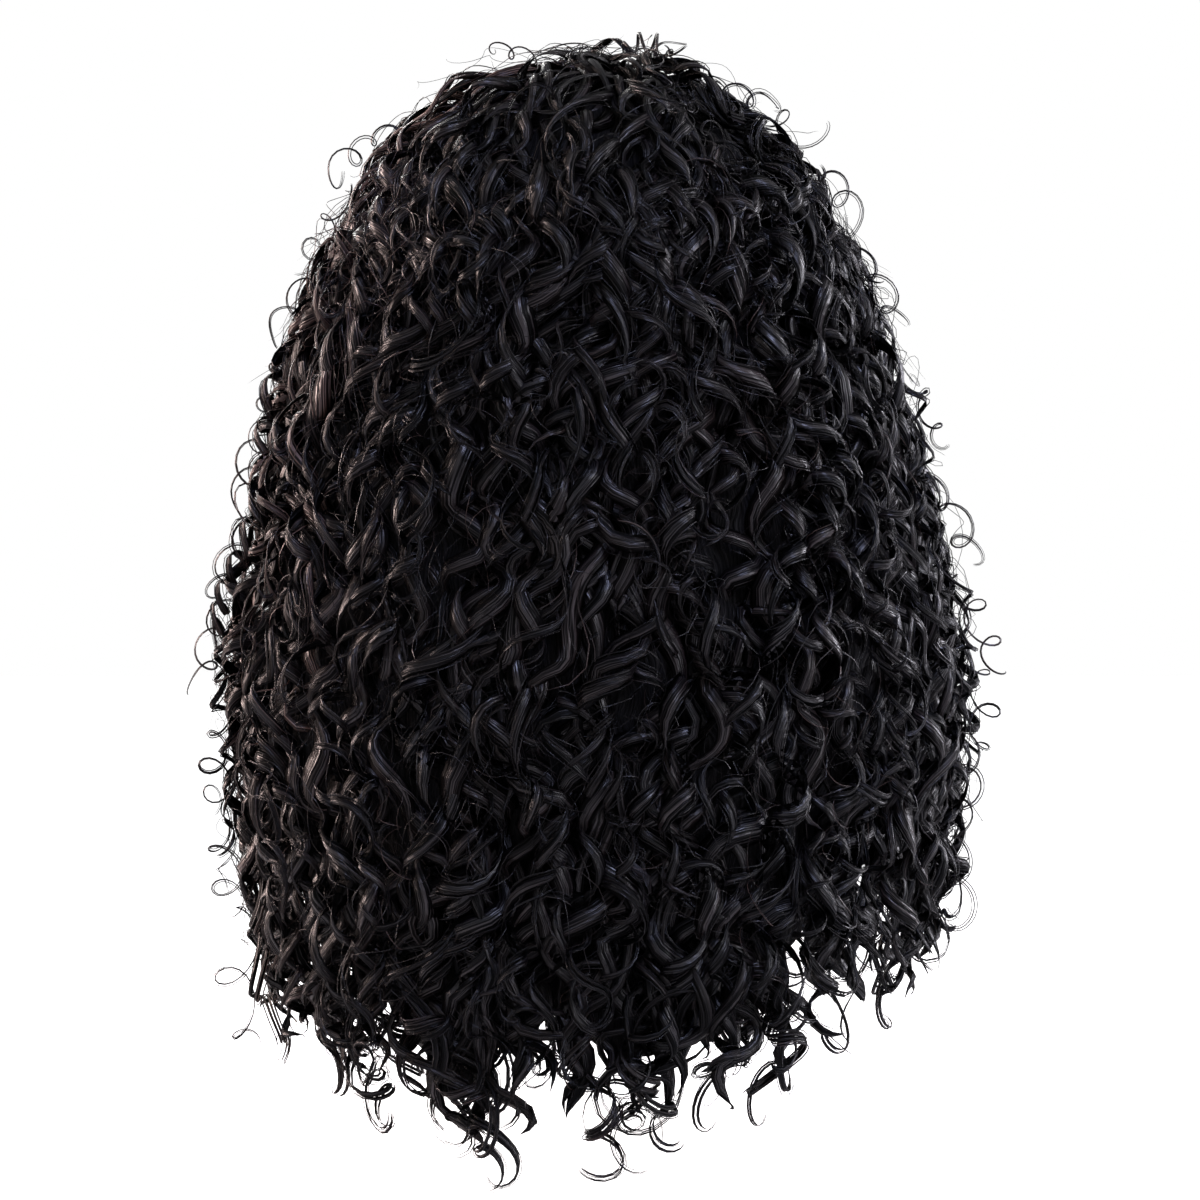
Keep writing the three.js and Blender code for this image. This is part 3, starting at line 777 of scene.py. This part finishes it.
CROWN_TRIANGLES = 190000
CROWN_EDGE_WAY = 150
HAIRLINE_HALF_ANGLE = radians(56)
HAIRLINE_ABOVE, HAIRLINE_ROWS, HAIRLINE_LENGTHS = 34, 24, (45, 58)
CROWN_FIRST, CROWN_LAST_ABOVE, CROWN_CROWDING = -55, 20, 0.75
CROWN_OVERHANG = 38
CROWN_LENGTHS, CROWN_RAGGED = (90, 170), (-18, 18)
crown_kinds = dict(hairline=2.2, deep=2.5, body=1.2, surface=0.9, stray=1, frizz=0.6)


def crown_place(first, second, rng, name):
    """A ringlet's angle round, start and length for a pair of shares. Some cross over the crown."""
    if name == "hairline":
        around = pi + HAIRLINE_HALF_ANGLE * (2 * first - 1)
        edge_way = float(way_at_height(HEAD_HALF_HEIGHT * (np.cos(cap_edge(around)) - 1)))
        return around, edge_way - HAIRLINE_ABOVE + HAIRLINE_ROWS * second, rng.uniform(*HAIRLINE_LENGTHS)
    around = 2 * pi * first - pi
    start = CROWN_FIRST + (CROWN_EDGE_WAY - CROWN_LAST_ABOVE - CROWN_FIRST) * second**CROWN_CROWDING
    end = CROWN_EDGE_WAY + CROWN_OVERHANG - CROWN_OVERHANG * over_face(around)
    return around, start, min(rng.uniform(*CROWN_LENGTHS), end + rng.uniform(*CROWN_RAGGED) - start)


APART_ROOT, APART_TIP_LIFT, APART_TONE = 8, 2, 0.3
# Strands that stand apart from the rest: the piece they grow from, angle round from the back in degrees,
# height of the start, length, depth of the middle, radius, pitch, tip over, half width and number of fibres.
apart_rows = [
    ("crown", -90, 1, 24, -7, 8.6, 16, 0.2, 0.4, 2),
    ("crown", -100, 28, 34, -1, 4.5, 15, 0.2, 0.6, 4),
    ("crown", 150, 28, 30, -2, 4, 13, 1.2, 0.5, 3),
    ("crown", -40, 27, 36, -1, 4.5, 15, 0.9, 0.6, 4),
    ("crown", 75, 27, 36, 0, 4.5, 15, 0.2, 0.6, 3),
    ("crown", -80, 18, 36, -1, 5, 17, 0.2, 0.7, 4),
    ("crown", -86, -22, 34, -3, 6.5, 16, 0.2, 0.5, 3),
    ("crown", 88, -4, 38, -3, 6.5, 18, 0.2, 0.6, 3),
    ("crown", 92, -30, 40, -4, 7, 20, 0.2, 0.5, 3),
    ("side_right", -87, -192, 46, -4, 6.5, 19, 0.2, 0.7, 4),
    ("side_right", -92, -262, 44, -2, 6, 18, 0.2, 0.6, 4),
    ("side_left", 88, -204, 40, -5, 8, 20, 0.2, 0.4, 3),
    ("side_left", 82, -330, 62, -8, 9, 34, 0.2, 0.6, 4),
    ("side_left", 86, -128, 44, -3, 7, 19, 0.2, 0.5, 3),
    ("crown", 84, -62, 38, -2, 6, 18, 0.2, 0.5, 3),
    ("crown", -88, -56, 38, -3, 6, 19, 0.2, 0.6, 4),
    ("side_left", 90, -92, 40, -3, 6, 18, 0.2, 0.5, 3),
    ("side_left", 84, -165, 42, -3, 6, 19, 0.2, 0.6, 4),
    ("side_left", 88, -248, 44, -3, 6.5, 20, 0.2, 0.6, 4),
    ("side_left", 84, -290, 44, -4, 7, 20, 0.2, 0.5, 3),
    ("side_right", -90, -104, 40, -3, 6, 18, 0.2, 0.6, 4),
    ("side_right", -86, -150, 42, -3, 6, 19, 0.2, 0.6, 4),
    ("side_right", -90, -226, 44, -3, 6.5, 20, 0.2, 0.6, 4),
    ("side_right", -85, -300, 46, -4, 7, 20, 0.2, 0.5, 3),
    ("back_middle", 2, -352, 92, 8, 8, 27, 0.2, 2.4, 7),
    ("back_left", 30, -350, 76, 8, 9, 32, 0.6, 2.6, 7),
    ("back_left", 38, -352, 72, 14, 8, 28, 0.5, 2.2, 6),
    ("back_right", -28, -345, 66, 8, 9.5, 34, 0.7, 2.4, 7),
]


def set_apart(hair, rng, piece_name):
    """Adds the strands that stand apart on one piece. The thick ones have bands too."""
    for piece, angle, height, length, layer, radius, pitch, tip_over, half, fibres in apart_rows:
        if piece != piece_name:
            continue
        kind = dict(
            radius=(radius, radius), pitch=(pitch, pitch), steps=18, roundness=1, tip_over=tip_over,
            swing=1.5, hook=0.6, facing=0.1, mixed=2, uneven=0.2, half=(half, half), taper=0.4,
            bands=2 * (half > 1), fibres=(fibres, fibres), thick=0.25, springy=True,
        )
        start = float(way_at_height(height))
        around = radians(angle)
        add_ringlet(hair, rng, kind, around, start, length, layer, APART_ROOT, APART_TIP_LIFT, APART_TONE)


def closed_wall(outer, inner, round_closed):
    """Points and faces of a wall between two grids of points, (down, round, 3), closed at its edges."""
    rows, columns = outer.shape[:2]
    points = np.concatenate([outer.reshape(-1, 3), inner.reshape(-1, 3)])
    back = rows * columns
    faces = []
    spans = columns if round_closed else columns - 1
    for i in range(rows - 1):
        for j in range(spans):
            k = (j + 1) % columns
            a, b, c, d = i * columns + j, i * columns + k, (i + 1) * columns + k, (i + 1) * columns + j
            faces.append((a, b, c, d))
            faces.append((back + d, back + c, back + b, back + a))
    for j in range(spans):
        k = (j + 1) % columns
        last = (rows - 1) * columns
        faces.append((back + j, back + k, k, j))
        faces.append((last + j, last + k, back + last + k, back + last + j))
    if not round_closed:
        for i in range(rows - 1):
            a, d = i * columns, (i + 1) * columns
            faces.append((a, d, back + d, back + a))
            a, d = a + columns - 1, d + columns - 1
            faces.append((d, a, back + a, back + d))
    return points, np.array(faces)


CROWN_CORE_ROUND = 48
CROWN_CORE_DOWN = 12
CROWN_CORE_FIRST = 0.02
CROWN_CORE_ANGLE, FACE_CORE_CUT = radians(66), 0.34
CROWN_CORE_WAY, FACE_CORE_WAY_CUT = 0.82 * CROWN_EDGE_WAY, 0.38
CROWN_CORE_DEPTH = CORE_DEPTH + 1
CROWN_LUMPS, CROWN_LUMPS_ROUND, CROWN_LUMPS_START, CROWN_LUMP_WAY = 2, 11, 5, 9
CROWN_SEED = 11
crown_round = np.linspace(-pi, pi, CROWN_CORE_ROUND, endpoint=False)
crown_share = np.linspace(CROWN_CORE_FIRST, 1, CROWN_CORE_DOWN)[:, None]
crown_down = CROWN_CORE_ANGLE * (1 - FACE_CORE_CUT * over_face(crown_round)) * crown_share
crown_way = CROWN_CORE_WAY * crown_share * (1 - FACE_CORE_WAY_CUT * over_face(crown_round))
crown_turn = np.broadcast_to(crown_round, crown_way.shape)
crown_inner = head_point(crown_turn, crown_down, CAP_CLEAR)
crown_lumps = CROWN_LUMPS * np.sin(CROWN_LUMPS_ROUND * crown_round + CROWN_LUMPS_START)
crown_lumps = crown_lumps * np.sin(crown_way / CROWN_LUMP_WAY)
crown_in = (CROWN_CORE_DEPTH + crown_lumps)[..., None]
crown_outer = outer_point(crown_turn, crown_way) - outward(crown_turn, crown_way) * crown_in
crown_rng = np.random.default_rng(CROWN_SEED)
crown_hair = HairMesh()
set_apart(crown_hair, crown_rng, "crown")
grow(crown_hair, crown_rng, crown_place, CROWN_TRIANGLES, crown_kinds)
crown_piece = crown_hair.make("crown_curls", hair_stuff, *closed_wall(crown_outer, crown_inner, True))
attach(crown_piece, "root")
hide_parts("crown_hair")

# The falls hang from the sides and back of the cap. Each is a thick curtain of ringlets of many lengths,
# dense underneath, that ends in a ragged hem of loose curls.
FALL_SPAN = radians(40)
FALL_TOP_WAY = 105
FALL_SEED = 100
# Name, angle of its middle round from the back, its triangles, the shares of its span where its dense
# under-hair starts and ends, which way round its free front edge is, if it has one, and how much more it has
# of deep ringlets and of frizz than the back does.
fall_rows = [
    ("front_right", -120, 81000, -0.25, 0.5, -1, 1.7, 1),
    ("side_right", -80, 106000, -0.5, 0.5, 0, 1.7, 1),
    ("back_right", -40, 130000, -0.5, 0.5, 0, 1, 1),
    ("back_middle", 0, 132000, -0.5, 0.5, 0, 1, 1),
    ("back_left", 40, 130000, -0.5, 0.5, 0, 1, 1.8),
    ("side_left", 80, 110000, -0.5, 0.5, 0, 1.7, 1.8),
    ("front_left", 120, 86000, -0.5, 0.25, 1, 1.7, 1.8),
]
# The ragged hem, by angle round from the back in degrees and height.
hem_rows = np.array(
    [
        [-150, -358],
        [-90, -366],
        [-65, -380],
        [-54, -378],
        [-47, -390],
        [-35, -407],
        [-24, -420],
        [-15, -424],
        [-5, -420],
        [3, -428],
        [11, -404],
        [20, -422],
        [28, -435],
        [38, -435],
        [50, -410],
        [66, -404],
        [95, -394],
        [150, -362],
    ]
)
LAST_START_ABOVE, START_CROWDING = 70, 0.9
FALL_LENGTHS = (110, 240)
TOP_SHARE, TOP_ROWS, TOP_LENGTHS = 0.3, 30, (60, 220)
HEM_GAPS, HEM_CURL_GAPS = (2, 34), (-30, 2)
HEM_CURL_START, HEM_CURL_ROWS = 90, 60
EDGE_FROM, EDGE_WIDTH = -0.02, 0.55


def hem_height(around):
    """The height of the hem at an angle round."""
    return np.interp(np.degrees(around), hem_rows[:, 0], hem_rows[:, 1])


def fall_place(middle, front, first, second, rng, name):
    """A ringlet's angle round, start and length for a pair of shares, on the fall round a middle."""
    around = middle + FALL_SPAN * (first - 0.5)
    hem_way = float(way_at_height(hem_height(around)))
    start = FALL_TOP_WAY + (hem_way - LAST_START_ABOVE - FALL_TOP_WAY) * second**START_CROWDING
    longest = rng.uniform(*FALL_LENGTHS)
    if rng.random() < TOP_SHARE:
        start = FALL_TOP_WAY + TOP_ROWS * second
        longest = rng.uniform(*TOP_LENGTHS)
    hem_gap = rng.uniform(*HEM_GAPS)
    if name == "hem":
        start = hem_way - HEM_CURL_START - HEM_CURL_ROWS * second
        hem_gap = rng.uniform(*HEM_CURL_GAPS)
    if name == "edge":
        around = middle + front * FALL_SPAN * (EDGE_WIDTH * first + EDGE_FROM)
    return around, start, min(longest, hem_way - hem_gap - start)


# The dense under-hair of a fall: its grid, how far it stops above the hem, how ragged and lumpy it is, how it
# waves and narrows along a free front edge, how much shallower it lies at the sides, how far it stays off the
# cap and the neck, and how it closes in towards its end.
CORE_ROUND, CORE_DOWN = 21, 26
CORE_TOP_ABOVE = 10
CORE_ABOVE_HEM, EDGE_ABOVE_HEM = 38, 60
CORE_RAGGED = ((6, 17, 0), (4, 29, 1))
FREE_FROM, FREE_TO = -0.1, 0.25
EDGE_WAVE, EDGE_WAVE_WAY = 0.05, 8
EDGE_NARROWING = 0.76
SIDE_SHALLOWER = 4
CORE_LUMPS, LUMPS_ROUND, LUMP_WAY = 2.5, 26, 7
LUMP_LEAN, LUMP_LEAN_WAY = 2, 31
LUMP_SHIFT, LUMP_SHIFTS_ROUND = 3, 5
CORE_CLEAR, NECK_CLEAR, NECK_HEIGHT = CAP_CLEAR + 1, 12, -125
CLOSE_FROM, CLOSE_SHARE = 0.72, 0.8


def fall_core(middle, dense_from, dense_to, front):
    """The outer and inner grids of points of a fall's dense under-hair."""
    span_share = np.linspace(dense_from, dense_to, CORE_ROUND)
    core_round = middle + FALL_SPAN * span_share
    down_share = np.linspace(0, 1, CORE_DOWN)[:, None]
    free_edge = ramp(front * span_share, FREE_FROM, FREE_TO) * abs(front)
    above_hem = CORE_ABOVE_HEM + round_wave(core_round, CORE_RAGGED) + EDGE_ABOVE_HEM * free_edge**2
    top_way = FALL_TOP_WAY - CORE_TOP_ABOVE
    bottom_way = way_at_height(hem_height(core_round) + above_hem)
    way = top_way + (bottom_way - top_way) * down_share
    turn = core_round + front * EDGE_WAVE * free_edge * np.sin(way / EDGE_WAVE_WAY)
    lumps_round = np.sin(turn * LUMPS_ROUND + LUMP_LEAN * np.sin(way / LUMP_LEAN_WAY))
    lumps_down = np.sin(way / LUMP_WAY + LUMP_SHIFT * np.sin(turn * LUMP_SHIFTS_ROUND))
    depth = CORE_DEPTH - SIDE_SHALLOWER * np.sin(turn) ** 2 + CORE_LUMPS * lumps_round * lumps_down
    outer = outer_point(turn, way) - outward(turn, way) * depth[..., None]
    height = outer[..., 2]
    inner_down = np.arccos(np.clip(1 + height / HEAD_HALF_HEIGHT, 0, 1))
    inner = head_point(turn, inner_down, CORE_CLEAR + NECK_CLEAR * (height < NECK_HEIGHT))
    inner[..., 2] = height
    outer = blend(outer, inner, CLOSE_SHARE * ramp(down_share, CLOSE_FROM, 1)[..., None])
    centre = (outer + inner) / 2
    narrowed = EDGE_NARROWING * free_edge[:, None]
    return blend(outer, centre, narrowed), blend(inner, centre, narrowed)


for number, (side_name, angle, triangles, dense_from, dense_to, front, deep, frizz) in enumerate(fall_rows):
    rng = np.random.default_rng(FALL_SEED + number)
    middle = radians(angle)
    fall_kinds = dict(deep=deep, body=1, hem=1, surface=1, stray=1, frizz=frizz, inside=1, edge=abs(front))
    fall_hair = HairMesh()
    set_apart(fall_hair, rng, side_name)
    grow(fall_hair, rng, partial(fall_place, middle, front), triangles, fall_kinds)
    core_wall = closed_wall(*fall_core(middle, dense_from, dense_to, front), False)
    fall_piece = fall_hair.make(side_name + "_curls", hair_stuff, *core_wall)
    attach(fall_piece, "root")
    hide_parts(side_name + "_fall")

# The floor is a plain pale studio floor just under the lowest curl. To the camera it glows as white as the
# room, so that no horizon shows.
FLOOR_HEIGHT = -0.445
FLOOR_SIZE = 30
FLOOR_GREY = (0.5, 0.5, 0.5, 1)
WHITE = (1, 1, 1, 1)
bpy.ops.object.select_all(action="DESELECT")
bpy.ops.mesh.primitive_plane_add(size=FLOOR_SIZE, location=(0, 0, FLOOR_HEIGHT))
floor = bpy.context.object
floor.name = "studio_floor"
floor_terms = {"Base Color": FLOOR_GREY, "Roughness": 0.9, "Emission Color": WHITE}
floor_paint, floor_tree, floor_shader = new_material("pale floor", floor_terms)
floor_seen = add_node(floor_tree, "LightPath").outputs["Is Camera Ray"]
feed(floor_tree, floor_shader, {"Emission Strength": floor_seen})
floor.data.materials.append(floor_paint)

# The studio is a pale room with five soft panels: a cool key above the back, a fill on the right of it, one
# in front of the face, and a strong one at each side, warm on the left.
ROOM_LIGHT = 0.5
ROOM_SEEN = 1.0
# Name, place, height of the point on the wig's axis that it faces, size, watts and colour.
panel_rows = [
    ("key_panel", (-0.5, 1.5, 1.75), -0.15, 0.8, 52, (0.58, 0.64, 1)),
    ("fill_panel", (-1.6, 1.2, 0.4), -0.2, 0.7, 22, (0.90, 0.90, 1)),
    ("front_panel", (0.7, -1.9, 0.5), -0.2, 0.9, 28, (1, 0.99, 0.97)),
    ("left_panel", (1.65, -0.75, 0.3), -0.2, 0.9, 74, (1, 0.77, 0.71)),
    ("right_panel", (-1.65, -0.8, 0.3), -0.2, 0.9, 47, (0.92, 0.90, 1)),
]
studio = bpy.data.worlds.new("pale studio")
bpy.context.scene.world = studio
studio.use_nodes = True
room_tree = studio.node_tree
room_seen = add_node(room_tree, "LightPath").outputs["Is Camera Ray"]
room = add_node(room_tree, "MapRange", {"Value": room_seen, "To Min": ROOM_LIGHT, "To Max": ROOM_SEEN})
feed(room_tree, room_tree.nodes["Background"], {"Color": WHITE, "Strength": room.outputs["Result"]})
for panel_name, place, aim_height, size, watts, colour in panel_rows:
    bpy.ops.object.light_add(type="AREA", location=place)
    panel = bpy.context.object
    panel.name = panel_name
    panel.data.shape = "SQUARE"
    panel.data.size = size
    panel.data.energy = watts
    panel.data.color = colour
    away = Vector(place) - Vector((0, 0, aim_height))
    panel.rotation_euler = away.to_track_quat("Z", "Y").to_euler()

# The camera looks level at the back of the wig.
CAMERA_DISTANCE = 2.3
CAMERA_HEIGHT = -0.204
SENSOR = 36
PHOTO_WIDTH_MM = 500
bpy.ops.object.camera_add(location=(0, CAMERA_DISTANCE, CAMERA_HEIGHT))
camera = bpy.context.object
camera.rotation_euler = (radians(90), 0, pi)
camera.data.sensor_width = SENSOR
camera.data.lens = SENSOR * CAMERA_DISTANCE / (PHOTO_WIDTH_MM * MM)
bpy.context.scene.camera = camera
bpy.context.scene.view_settings.view_transform = "Standard"
